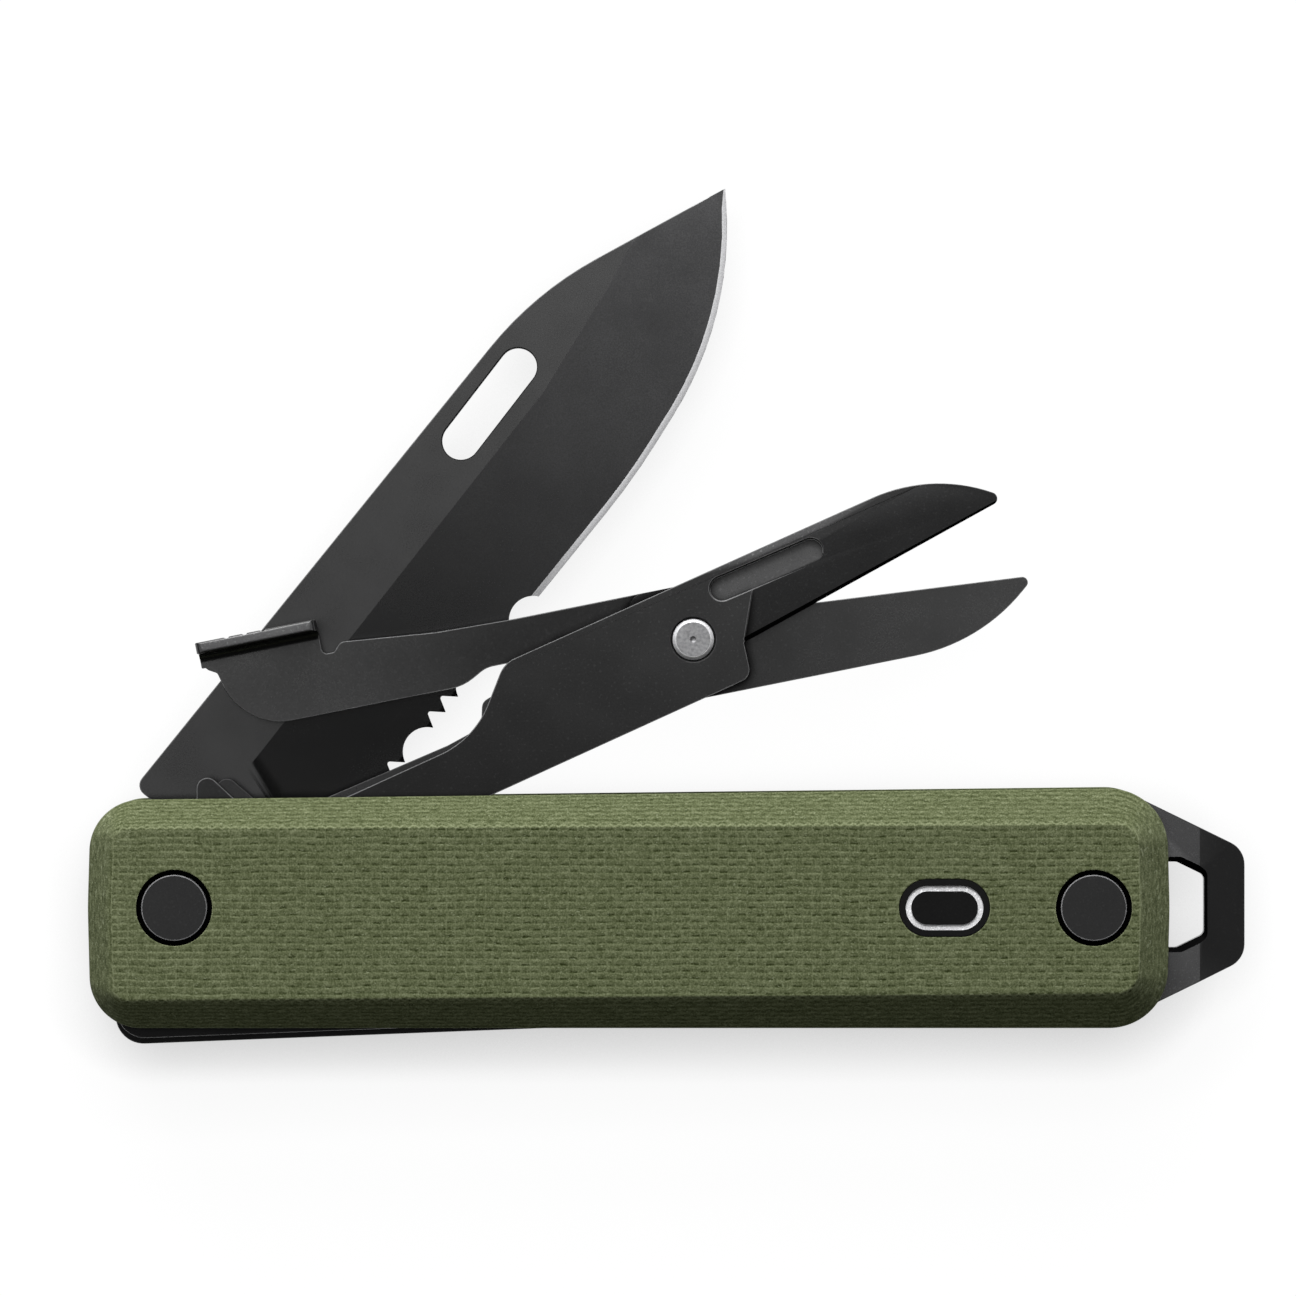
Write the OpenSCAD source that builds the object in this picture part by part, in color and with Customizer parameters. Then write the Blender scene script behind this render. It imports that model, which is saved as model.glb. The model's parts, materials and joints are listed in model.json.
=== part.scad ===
// Folding pocket multi tool: a knife blade and sprung scissors that turn on one pivot
// between three liners, with back springs, a pry tab at the butt and laminate scales.
// The long axis is X, the back springs lie on the -Y side, and Z = 0 is the rear scale's face.

/* [Handle] */
// Distance between the pivot pin and the butt pin
pin_span = 74.5; // [70:0.5:92]
// Reach of the handle past the pivot pin
pivot_reach = 6.85; // [6.5:0.05:9]
// Reach of the handle past the butt pin
butt_reach = 5.98; // [5.6:0.02:7.5]
// Height of the handle above the pin line at the pivot end
top_pivot_h = 8.7; // [8:0.1:11]
// Height of the handle above the pin line at the butt end
top_butt_h = 9.7; // [8.5:0.1:12]
// Depth of the handle below the pin line
bottom_h = 9.8; // [9.5:0.1:12]
// Corner radius of the handle outline at the pivot end
corner_pivot_r = 4.2; // [3:0.1:5]
// Corner radius of the handle outline at the butt end
corner_butt_r = 4.8; // [3:0.1:5]
// Outward bow of each handle end
end_bow = 0.25; // [0.1:0.05:0.6]
// Thickness of a scale
scale_t = 3; // [2.5:0.1:4]
// Straight wall at the foot of a scale, below its bevel
wall_h = 0.9; // [0.5:0.1:1.4]
// Width of the top and bottom bevels at the pivot end
bevel_pivot = 2.3; // [1.5:0.05:2.6]
// Width of the top and bottom bevels at the butt end
bevel_butt = 2.9; // [1.5:0.05:3]
// Width of the bevel across the pivot end
end_bevel_pivot = 2.2; // [1.5:0.05:2.6]
// Width of the bevel across the butt end
end_bevel_butt = 2.45; // [1.5:0.05:3]
// Corner radius of a scale's face at the pivot end
face_pivot_r = 0.75; // [0.4:0.05:2]
// Corner radius of a scale's face at the butt end
face_butt_r = 1.75; // [0.4:0.05:2.5]
// Thickness of a liner
liner_t = 0.8; // [0.5:0.05:1.2]
// Step of the liners inside the scales' outline
liner_inset = 0.35; // [0.2:0.05:0.8]

/* [Inlay] */
// Length of the plain inlay in the front scale
inlay_l = 7.3; // [5:0.1:9]
// Width of the plain inlay
inlay_w = 4.6; // [3:0.1:6]
// Thickness of the inlay
inlay_t = 0.8; // [0.5:0.05:1.2]
// Distance from the butt pin back to the inlay's centre
inlay_back = 12.1; // [9:0.1:20]

/* [Fasteners] */
// Radius of the pivot and butt barrels
pin_r = 2; // [1.7:0.05:2.4]
// Radius of the barrel and screw heads
head_r = 2.68; // [2.4:0.02:3.2]
// Thickness of the barrel and screw heads
head_t = 1; // [0.7:0.05:1.4]
// Gap round a head in its recess
head_gap = 0.38; // [0.1:0.02:0.6]
// Depth of a head below the scale's face
head_sink = 0.1; // [0.05:0.05:0.3]
// Radius of the screw threads inside a barrel
screw_r = 1.1; // [0.9:0.05:1.3]
// Radius of the pin that holds the middle of the back springs
spring_pin_r = 1; // [0.8:0.05:1.3]
// Radial clearance of a turning or sliding fit
fit_gap = 0.03; // [0.02:0.01:0.08]

/* [Blade] */
// Thickness of the blade
blade_t = 2.2; // [1.6:0.1:3]
// Direction of the blade in the resting pose
blade_angle = 51.05; // [40:0.05:60]
// Direction of the blade when it is folded
blade_fold = 4.5; // [3:0.1:6]
// Height of the spine above the pivot
spine_h = 8.86; // [8:0.05:10]
// Depth of the cutting edge below the pivot
edge_h = 7.02; // [6:0.05:8]
// Distance of the point from the butt pin's radius
tip_gap = 0.8; // [0.5:0.1:3]
// Height of the point above the pivot line
tip_h = 2.1; // [1:0.1:4]
// Height of the grind line above the pivot
grind_h = 2.65; // [1:0.05:5]
// Rise of the grind line at the point
grind_rise = 2.3; // [0:0.1:4]
// Width of the sharpened bevel
edge_bevel = 0.5; // [0.3:0.05:0.8]
// Length of the thumb slot between its end centres
slot_l = 7.64; // [5:0.1:10]
// Radius of the thumb slot's ends
slot_r = 1.55; // [1:0.05:2]
// Width of a small serration
tooth_small_w = 1.58; // [1.2:0.02:2]
// Radius of a large serration
tooth_large_r = 2; // [1.5:0.05:2.4]

/* [Tangs and back springs] */
// Distance of a tang flat from the pivot
tang_flat = 5.6; // [5:0.1:6]
// Corner radius of a tang
tang_r = 1.4; // [1:0.1:2]
// Gap between a passing tang corner and its lifted spring
spring_gap = 0.15; // [0.1:0.05:0.4]
// Reach of the blade spring's end past the pivot
spring_end = 5.2; // [4:0.05:5.4]
// Length by which the scissor spring's end is shorter than the blade spring's
spring_short = 0.3; // [0.2:0.05:1]
// Height of a spring's nose
spring_nose_h = 3.67; // [3:0.05:4.2]
// Height by which the scissor spring's nose is lower than the blade spring's
spring_step = 0.6; // [0:0.05:1]
// Height of a spring along its thin stretch
spring_leaf_h = 2.6; // [2:0.1:3.2]
// Distance from the pivot to the pin in the middle of the springs
spring_root = 48.5; // [40:0.5:55]

/* [Butt tab] */
// Reach of the tab past the butt pin
tab_reach = 12.66; // [10:0.02:15]
// Half height of the tab's end, measured at its sharp corners
tab_half_h = 4.5; // [3:0.1:6]
// Height of the tab's middle above the pin line
tab_rise = 0.1; // [0:0.05:0.5]
// Slope of the tab's shoulders
tab_slope = 26; // [15:1:35]
// Corner radius at the tab's end
tab_r = 2; // [1:0.1:3]
// Width of the bar between the eye and the tab's end
tab_bar = 3.34; // [2.5:0.02:4]
// Length of the key ring eye along the handle
eye_l = 4.6; // [3.5:0.1:5]
// Half height of the key ring eye
eye_half_h = 3.5; // [2.5:0.05:4]
// Chamfer round the eye
eye_chamfer = 0.4; // [0.2:0.05:0.6]
// Thickness of the tab's ground end
tab_end_t = 1; // [0.6:0.1:1.6]

/* [Scissors] */
// Thickness of the fixed arm
arm_t = 1.25; // [1:0.05:1.8]
// Thickness of the lever's thumb half
lever_t = 1.05; // [0.8:0.05:1.4]
// Thickness of the scissors' leaf spring
leaf_t = 0.5; // [0.4:0.05:0.7]
// Direction of the arm in the resting pose
arm_angle = 24.5; // [20:0.5:35]
// Direction of the arm when it is folded
arm_fold = 6.5; // [5:0.5:8]
// Direction of the lever in the resting pose
lever_angle = 11.3; // [8:0.1:14]
// Length of the cutters from the rivet to the arm's tip, measured at its sharp corner
cutter_l = 28.03; // [22:0.01:30]
// Height of the rivet above the pivot, square to the arm
rivet_h = 2.35; // [1.5:0.05:3]
// Radius of the rivet's head
rivet_head_r = 1.69; // [1.5:0.02:2]
// Radius of the rivet's shank
rivet_r = 1.15; // [0.9:0.05:1.3]
// Height of the arm's back above the pivot line
arm_top = 6.95; // [6:0.05:8]
// Half width of the arm's neck
neck_half = 2.38; // [2:0.05:3]
// Length of the thumb flange
flange_l = 9.9; // [7:0.1:12]
// Height of the thumb flange in front of the lever
flange_h = 4.2; // [3:0.1:5]
// Thickness of the thumb flange
flange_t = 0.92; // [0.7:0.02:1.2]
// Length of the nail nick between its end centres
nick_l = 7.87; // [5:0.1:10]
// Radius of the nail nick's ends
nick_r = 1.02; // [0.7:0.02:1.3]
// Depth of the nail nick along its middle
nick_deep = 0.45; // [0.3:0.05:0.6]
// Tilt of the nail nick's floor, which falls towards the arm's back
nick_tilt = 6; // [0:0.5:8]

/* [Running gaps] */
// Thickness of a pivot washer
washer_t = 0.1; // [0.1:0.05:0.3]
// Radius of a pivot washer
washer_r = 4.2; // [3:0.1:5]
// Side play between a washer and what turns on it
side_play = 0.02; // [0.01:0.01:0.05]

/* [Hidden] */
$fn = 64;
// Small overlap that keeps a cut clear of the face it starts from
over = 1;

// Heights of the layers, from the rear face to the front
bay_play = washer_t + side_play;
z_rear_liner = scale_t;
z_blade_bay = z_rear_liner + liner_t;
blade_bay_h = blade_t + 2 * bay_play;
z_middle_liner = z_blade_bay + blade_bay_h;
z_scissor_bay = z_middle_liner + liner_t;
z_lever = z_scissor_bay + bay_play;
lever_stack = lever_t + leaf_t + 2 * side_play;
z_arm = z_lever + lever_stack;
scissor_bay_h = lever_stack + arm_t + 2 * bay_play;
z_front_liner = z_scissor_bay + scissor_bay_h;
z_front_scale = z_front_liner + liner_t;
z_front = z_front_scale + scale_t;
z_blade_mid = z_blade_bay + bay_play + blade_t / 2;

// Places along the handle
pivot_x = -pin_span / 2;
butt_x = pin_span / 2;
hole_r = pin_r + fit_gap;
recess_r = head_r + head_gap;

// Lift of the back springs that lets a tang corner pass
tang_corner = sqrt(2) * (tang_flat - tang_r) + tang_r;
spring_lift = tang_corner + spring_gap - tang_flat;
spring_tilt = atan(spring_lift / spring_root);
root_x = pivot_x + spring_root;
// The springs' boss on the spring pin reaches down to their lower edge
spring_boss_r = spring_pin_r + 1.15;
spring_pin_y = spring_boss_r - tang_flat - spring_nose_h;

// Point along a direction
function polar(r, a) = [r * cos(a), r * sin(a)];
function unit(v) = v / norm(v);
function plan(c) = [c[0], c[1]];
// Angle of one straight piece of an arc, finer on large arcs
function arc_step(r) = r > 4 ? 3 : (r > 1.5 ? 8 : 15);
// Points of the arc that rounds the corner b between its neighbours a and c
function corner_arc(a, b, c) =
    let(r = b[2],
        back = unit(plan(a) - plan(b)),
        ahead = unit(plan(c) - plan(b)),
        half = acos(back * ahead) / 2,
        centre = plan(b) + unit(back + ahead) * r / sin(half),
        first = plan(b) + back * r / tan(half) - centre,
        last = plan(b) + ahead * r / tan(half) - centre,
        start = atan2(first[1], first[0]),
        turn = (atan2(last[1], last[0]) - start + 900) % 360 - 180,
        steps = max(2, ceil(abs(turn) / arc_step(r))))
    [for (i = [0 : steps]) centre + polar(r, start + turn * i / steps)];
// Closed outline through corners [x, y, radius], where a radius of 0 keeps the corner sharp
function rounded(corners) =
    let(n = len(corners))
    [for (i = [0 : n - 1])
        each corners[i][2] == 0 ? [plan(corners[i])]
            : corner_arc(corners[(i + n - 1) % n], corners[i], corners[(i + 1) % n])];

module outline(corners) { polygon(rounded(corners)); }
module bar_of_circles(length, r) {
    circle(r);
    translate([length, 0]) circle(r);
    translate([0, -r]) square([length, 2 * r]);
}
module slab(z, h) { translate([0, 0, z]) linear_extrude(h) children(); }
module at_pivot(angle) { translate([pivot_x, 0]) rotate(angle) children(); }
module at_pins() {
    for (x = [pivot_x, butt_x])
        translate([x, 0]) children();
}

// Handle outline, stepped in along its sides and at its ends. Each argument is a pair for the
// pivot end and the butt end.
bow_r = 30;
module handle_outline(side, end, r) {
    left = pivot_x - pivot_reach + end[0];
    right = butt_x + butt_reach - end[1];
    outline([[left, top_pivot_h - side[0], r[0]],
             [left - end_bow, 0, bow_r],
             [left, -bottom_h + side[0], r[0]],
             [right, -bottom_h + side[1], r[1]],
             [right + end_bow, 0, bow_r],
             [right, top_butt_h - side[1], r[1]]]);
}
corner_radii = [corner_pivot_r, corner_butt_r];
module even_outline(step) { handle_outline([step, step], [step, step], corner_radii - [step, step]); }

// Scale with its bevel, lying on z = 0 with the face up, before its pockets are cut. The bevel
// across the pivot end breaks into a steep and a shallow facet at the height break_z.
face_skin = 0.02;
break_share = 0.82;
break_width = 0.66;
break_z = wall_h + (scale_t - wall_h) * break_share;
module bevelled_scale() {
    sides = [bevel_pivot, bevel_butt];
    ends = [end_bevel_pivot, end_bevel_butt];
    break_ends = [end_bevel_pivot * break_width, end_bevel_butt * break_share];
    face_radii = [face_pivot_r, face_butt_r];
    break_radii = corner_radii + (face_radii - corner_radii) * break_share;
    hull() {
        linear_extrude(wall_h) even_outline(0);
        slab(break_z - face_skin, face_skin) handle_outline(sides * break_share, break_ends, break_radii);
        slab(scale_t - face_skin, face_skin) handle_outline(sides, ends, face_radii);
    }
}
module drilled_scale() {
    difference() {
        bevelled_scale();
        at_pins() translate([0, 0, -over]) cylinder(r = hole_r, h = scale_t + 2 * over);
        at_pins() translate([0, 0, scale_t - head_t - head_sink]) cylinder(r = recess_r, h = head_t + over);
    }
}
module inlay_shape(grow) {
    r = inlay_w / 2;
    translate([butt_x - inlay_back - inlay_l / 2 + r, 0]) bar_of_circles(inlay_l - 2 * r, r + grow);
}
module front_scale() {
    color("darkolivegreen") difference() {
        translate([0, 0, z_front_scale]) drilled_scale();
        slab(z_front - inlay_t, inlay_t + over) inlay_shape(fit_gap);
    }
}
module rear_scale() {
    color("darkolivegreen") translate([0, 0, scale_t]) mirror([0, 0, 1]) drilled_scale();
}
// Plain inlay with a shallow groove just inside its rim
module shield_inlay() {
    groove_w = 0.45;
    groove_deep = 0.12;
    rim = 0.5;
    color("black") difference() {
        slab(z_front - inlay_t, inlay_t) inlay_shape(0);
        slab(z_front - groove_deep, groove_deep + over) difference() {
            inlay_shape(-rim);
            inlay_shape(-rim - groove_w);
        }
    }
}

// Liners
module liner(z) {
    slab(z, liner_t) difference() {
        even_outline(liner_inset);
        at_pins() circle(hole_r);
        translate([root_x, spring_pin_y]) circle(spring_pin_r + fit_gap);
    }
}
module front_liner() { color("dimgray") liner(z_front_liner); }
module middle_liner() { color("dimgray") liner(z_middle_liner); }
module rear_liner() { color("dimgray") liner(z_rear_liner); }

// Fasteners: a headed barrel from the front and a screw from the rear
barrel_end_z = scale_t - liner_t;
screw_end_z = z_middle_liner;
module headed_barrel(x) {
    head_z = z_front - head_sink - head_t;
    translate([x, 0, 0]) difference() {
        union() {
            translate([0, 0, barrel_end_z]) cylinder(r = pin_r, h = head_z - barrel_end_z + head_t / 2);
            translate([0, 0, head_z]) cylinder(r = head_r, h = head_t);
        }
        translate([0, 0, barrel_end_z - over])
            cylinder(r = screw_r + fit_gap, h = screw_end_z - barrel_end_z + 2 * over);
    }
}
module headed_screw(x) {
    socket_r = 1.25;
    socket_deep = 0.7;
    translate([x, 0, head_sink]) difference() {
        union() {
            cylinder(r = head_r, h = head_t);
            cylinder(r = screw_r, h = screw_end_z - head_sink);
        }
        translate([0, 0, -over]) cylinder(r = socket_r, h = socket_deep + over, $fn = 6);
    }
}
module pivot_barrel() { color("dimgray") headed_barrel(pivot_x); }
module butt_barrel() { color("dimgray") headed_barrel(butt_x); }
module pivot_screw() { color("dimgray") headed_screw(pivot_x); }
module butt_screw() { color("dimgray") headed_screw(butt_x); }
module spring_pin() {
    color("silver") translate([root_x, spring_pin_y, z_rear_liner])
        cylinder(r = spring_pin_r, h = z_front_scale - z_rear_liner);
}
module washer_pair(low, high) {
    for (z = [low, high - washer_t])
        slab(z, washer_t) translate([pivot_x, 0]) difference() {
            circle(washer_r);
            circle(hole_r);
        }
}
module blade_washers() { color("goldenrod") washer_pair(z_blade_bay, z_middle_liner); }
module scissor_washers() { color("goldenrod") washer_pair(z_scissor_bay, z_front_liner); }

// Blade, drawn along +X with its pivot at the origin and its middle plane at z = 0
tip_x = pin_span - tip_gap;
// The clipped back falls to the point at this slope
clip_slope = 22.3;
clip_x = tip_x - (spine_h - tip_h) / tan(clip_slope);
// The edge is straight up to belly_x, then rises at belly_slope and at last at point_slope
belly_x = tip_x - 23.2;
belly_slope = 7;
point_slope = 43;
belly_run = ((tip_x - belly_x) * tan(point_slope) - tip_h - edge_h) / (tan(point_slope) - tan(belly_slope));
heel = [11.6, -edge_h, 0.8];
belly_start = [belly_x, -edge_h, 60];
belly_end = [belly_x + belly_run, -edge_h + belly_run * tan(belly_slope), 29];
point = [tip_x, tip_h, 0];
// Place of the step that stops the open blade against the spring's end
step_x = spring_end + 0.12;
// Height of the flat that meets the spring when the blade is folded
function closed_flat_y(x) = -(tang_flat + x * sin(blade_fold)) / cos(blade_fold);
ricasso_x = 8.8;
// Course of the cutting edge, and its height at any place
edge_line = concat([plan(heel)], corner_arc(heel, belly_start, belly_end),
    corner_arc(belly_start, belly_end, point), [plan(point)]);
function edge_y(x) = lookup(x, edge_line);
// Height of the grind line, which climbs towards the point
grind_bend_x = belly_x - 10.5;
function grind_y(x) = grind_h + grind_rise * pow(max(0, x - grind_bend_x) / 24, 2);
// Half thickness at the top of the sharpened bevel and at the edge itself
bevel_half_t = 0.3;
edge_half_t = 0.06;
// The grind starts with a slanted, hollow plunge
plunge_x = 12.2;
plunge_l = 1.7;
plunge_slant = 3.2;
// Section of the metal that the grind takes away at x, where deep runs from 0 to 1
function grind_section(x, deep) =
    let(half = blade_t / 2,
        at_bevel = half + (bevel_half_t - half) * deep,
        at_edge = half + (edge_half_t - half) * deep,
        top = grind_y(x),
        low = edge_y(x),
        slant = plunge_slant * max(0, 1 - (x - plunge_x) / (grind_bend_x - plunge_x)) / (top - low))
    [for (p = [[top, half], [low + edge_bevel, at_bevel], [low, at_edge],
               [low - over, at_edge], [low - over, half + over], [top, half + over]])
        [x - slant * (top - p[0]), p[0], p[1]]];
plunge_steps = 6;
station_gap = 1.9;
grind_sections = concat(
    [for (i = [0 : plunge_steps])
        let(a = 90 * i / plunge_steps)
        grind_section(plunge_x + plunge_l * (1 - cos(a)), sin(a))],
    [for (x = [grind_bend_x : station_gap : tip_x + station_gap]) grind_section(x, 1)]);
// Solid between a row of sections that have the same number of points. The end faces are
// fans of triangles from the point with the number hub.
module loft(sections, hub) {
    m = len(sections[0]);
    n = len(sections);
    last = (n - 1) * m;
    polyhedron([for (s = sections) each s],
        concat([for (k = [1 : m - 2]) [hub, (hub + k + 1) % m, (hub + k) % m]],
            [for (k = [1 : m - 2]) [last + hub, last + (hub + k) % m, last + (hub + k + 1) % m]],
            [for (i = [0 : n - 2], k = [0 : m - 1])
                each [[i * m + k, i * m + (k + 1) % m, (i + 1) * m + k],
                      [i * m + (k + 1) % m, (i + 1) * m + (k + 1) % m, (i + 1) * m + k]]]));
}
// Serrations: groups of a large round scallop and two small pointed ones, counted back from the
// plain edge. A small one is drawn from the sharp corner of its root, which leans to the heel.
plain_edge_x = tip_x - 35.51;
tooth_groups = 4;
tooth_land = 0.05;
tooth_large_deep = 1.12;
tooth_small_deep = 1.23;
tooth_small_lean = 0.44;
tooth_root_r = 0.2;
large_half = sqrt(tooth_large_deep * (2 * tooth_large_r - tooth_large_deep));
large_pitch = 2 * large_half + tooth_land;
small_pitch = tooth_small_w + tooth_land;
module small_scallop() {
    back = tooth_small_w * tooth_small_lean;
    ahead = tooth_small_w - back;
    outline([[-2 * back, -2 * tooth_small_deep, 0], [0, 0, tooth_root_r],
             [2 * ahead, -2 * tooth_small_deep, 0]]);
}
module serrations() {
    root_back = tooth_land / 2 + tooth_small_w * (1 - tooth_small_lean);
    for (g = [0 : tooth_groups - 1]) {
        start = plain_edge_x - g * (large_pitch + 2 * small_pitch);
        translate([start - large_pitch / 2, -edge_h - tooth_large_r + tooth_large_deep])
            circle(tooth_large_r);
        for (k = [0, 1])
            if (g < tooth_groups - 1)
                translate([start - large_pitch - k * small_pitch - root_back, -edge_h + tooth_small_deep])
                    small_scallop();
    }
}
slot_end = [tip_x - 29.64, 5.92];
slot_tilt = 1.3;
module blade_outline() {
    difference() {
        outline([[step_x, tang_flat, 0], [step_x, spine_h, 0.9], [clip_x, spine_h, 29], point,
                 belly_end, belly_start, heel, [ricasso_x, closed_flat_y(ricasso_x), 0.8],
                 [-tang_flat, closed_flat_y(-tang_flat), tang_r], [-tang_flat, tang_flat, tang_r]]);
        circle(hole_r);
        translate(slot_end) rotate(slot_tilt) bar_of_circles(slot_l, slot_r);
        serrations();
    }
}
module blade() {
    color("black") translate([pivot_x, 0, z_blade_mid]) rotate(blade_angle) difference() {
        linear_extrude(blade_t, center = true) blade_outline();
        loft(grind_sections, 4);
        mirror([0, 0, 1]) loft(grind_sections, 4);
    }
}

// Back springs: a nose on the tang, a thin stretch, a boss on the spring pin and a butt block
spring_foot = -tang_flat - spring_nose_h;
nose_r = 2.3;
nose_pad = 9;
module spring_arm(outer, short) {
    nose_x = pivot_x - spring_end + short;
    thin_top = outer + spring_leaf_h;
    pad_x = pivot_x + nose_pad;
    translate([root_x, -tang_flat]) rotate(spring_tilt) translate([-root_x, tang_flat])
        outline([[nose_x, outer, nose_r], [root_x, outer, 0], [root_x, thin_top, 0],
                 [pad_x + 5, thin_top, 2], [pad_x, -tang_flat, 1.2], [nose_x, -tang_flat, 0.4]]);
}
module spring_holes() {
    translate([butt_x, 0]) circle(hole_r);
    translate([root_x, spring_pin_y]) circle(spring_pin_r + fit_gap);
}
module spring_boss() { translate([root_x, spring_pin_y]) circle(spring_boss_r); }
tab_x = butt_x + tab_reach;
eye_right = tab_x - tab_bar;
// Outline of the key ring eye, grown outwards for its chamfer
module eye_outline(grow) {
    right = eye_right + grow;
    left = eye_right - eye_l - grow;
    top = eye_half_h + grow;
    cut_x = 2.25;
    cut_y = cut_x * tan(tab_slope);
    translate([0, tab_rise])
        outline([[right, top - cut_y, 0.6], [right - cut_x, top, 0.6], [left, top, 0.8],
                 [left, -top, 0.8], [right - cut_x, -top, 0.6], [right, cut_y - top, 0.6]]);
}
// Butt block and pry tab, with a shoulder that falls at tab_slope to the tab's end
module tab_outline() {
    shoulder_x = butt_x + 2.35;
    tab_top = tab_rise + tab_half_h;
    tab_foot = tab_rise - tab_half_h;
    shoulder_y = tab_top + (tab_x - shoulder_x) * tan(tab_slope);
    foot_x = tab_x - (tab_foot - spring_foot) / tan(tab_slope);
    outline([[tab_x, tab_top, tab_r], [shoulder_x, shoulder_y, 1.2], [butt_x - 4.65, -0.5, 3],
             [butt_x - 10, spring_foot + spring_leaf_h, 4], [root_x, spring_foot + spring_leaf_h, 0],
             [root_x, spring_foot, 0], [foot_x, spring_foot, 0.8], [tab_x, tab_foot, tab_r]]);
}
tab_grind_l = 3.7;
module tab_grind() {
    lost = (blade_bay_h - tab_end_t) / 2;
    translate([tab_x - tab_grind_l, 0, blade_bay_h / 2]) rotate([0, atan(lost / tab_grind_l), 0])
        translate([0, -pin_span / 2, 0]) cube([pin_span, pin_span, blade_t]);
}
module eye_edge() {
    skin = 0.02;
    hull() {
        slab(blade_bay_h / 2 - eye_chamfer, skin) eye_outline(0);
        slab(blade_bay_h / 2, skin) eye_outline(eye_chamfer);
    }
}
module blade_backspring() {
    color("black") translate([0, 0, z_blade_bay + blade_bay_h / 2]) difference() {
        linear_extrude(blade_bay_h, center = true) difference() {
            union() {
                spring_arm(spring_foot, 0);
                spring_boss();
                tab_outline();
            }
            spring_holes();
            eye_outline(0);
        }
        for (side = [0, 1])
            mirror([0, 0, side]) {
                tab_grind();
                eye_edge();
            }
    }
}
// The scissor spring's butt block stands clear of the folded lever
scissor_block_r = 2.75;
module scissor_block() {
    foot = spring_foot + spring_step;
    left = butt_x + 1.2;
    right = butt_x + butt_reach - 2 * liner_inset;
    translate([butt_x, 0]) circle(scissor_block_r);
    outline([[right, foot, 2], [right, top_pivot_h - 1.2, 2], [left, top_pivot_h - 1.2, 1.2],
             [left, 0, 0], [butt_x - scissor_block_r, 0, 0], [butt_x - scissor_block_r, -3, 1],
             [butt_x - 8, foot + spring_leaf_h, 4], [root_x, foot + spring_leaf_h, 0], [root_x, foot, 0]]);
}
module scissor_backspring() {
    color("black") slab(z_scissor_bay, scissor_bay_h) difference() {
        union() {
            spring_arm(spring_foot + spring_step, spring_short);
            spring_boss();
            scissor_block();
        }
        spring_holes();
    }
}

// Scissors, drawn along +X with the pivot at the origin, and the lever with the rivet there
arm_tip_x = pin_span + 0.83;
rivet_x = arm_tip_x - cutter_l;
lobe_x = rivet_x + 3.05;
arm_heel = [lobe_x + 1.71, 0.5];
arm_tip = [arm_tip_x, 2.305];
arm_tip_r = 0.52;
arm_edge = arm_tip - arm_heel;
arm_edge_slope = atan2(arm_edge[1], arm_edge[0]);
arm_grind_w = 4.3;
cutter_land = 0.2;
boss_x = 20;
boss_r = 0.8;
boss_h = leaf_t + side_play;
// Apex of the pointed lug on the tang, which stops the open scissors at the spring's end
lug = [6.33, 9.91];
lug_r = 0.88;
lug_turn = 9;
module tang_square() {
    rotate(-arm_fold) outline([for (a = [45 : 90 : 315])
        let(p = polar(sqrt(2) * tang_flat, a)) [p[0], p[1], tang_r]]);
}
module arm_outline() {
    difference() {
        union() {
            tang_square();
            outline([[0, -neck_half, 0], [lobe_x, -neck_half, 1], [lobe_x + 0.6, 0.45, 0.2],
                     [arm_heel[0], arm_heel[1], 0], [arm_tip[0], arm_tip[1], arm_tip_r],
                     [arm_tip_x - 4.73, arm_top - 0.18, 13.4], [rivet_x - 14.8, arm_top + 0.03, 2.3],
                     [rivet_x - 19.56, neck_half, 7.5], [9.46, neck_half, 1.5],
                     [lug[0], lug[1], lug_r], [4, 4.75, 0], [0, 0, 0]]);
        }
        circle(hole_r);
        translate([rivet_x, rivet_h]) circle(rivet_r + fit_gap);
    }
}
// Region of the ground cutter, beyond the slanted step beside the rivet
module arm_ground_area() {
    far = arm_tip_x + over;
    polygon([[lobe_x + 0.72, 0.62], [lobe_x + 2.95, 3.95], [lobe_x + 5, arm_top + over],
             [far, arm_top + over], [far, -over], [lobe_x + 0.65, -over]]);
}
module scissor_arm() {
    head_deep = 0.55;
    head_room = 0.15;
    color("black") translate([0, 0, z_arm]) at_pivot(arm_angle) difference() {
        union() {
            linear_extrude(arm_t) arm_outline();
            translate([boss_x, 0, -boss_h]) cylinder(r = boss_r, h = boss_h + arm_t / 2);
        }
        intersection() {
            translate([arm_heel[0], arm_heel[1], cutter_land]) rotate(arm_edge_slope)
                rotate([atan((arm_t - cutter_land) / arm_grind_w), 0, 0])
                    translate([-over * 5, -over * 5, 0]) cube([pin_span, pin_span, arm_t]);
            slab(-over, arm_t + 2 * over) arm_ground_area();
        }
        translate([rivet_x + 3.83, 5.11, arm_t - nick_deep]) rotate(-1.4) rotate([-nick_tilt, 0, 0])
            linear_extrude(nick_deep + over) bar_of_circles(nick_l, nick_r);
        translate([rivet_x, rivet_h, arm_t - head_deep])
            cylinder(r = rivet_head_r + head_room, h = head_deep + over);
    }
}
module at_rivet(turn) {
    at_pivot(arm_angle) translate([rivet_x, rivet_h]) rotate(turn - arm_angle) children();
}
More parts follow.
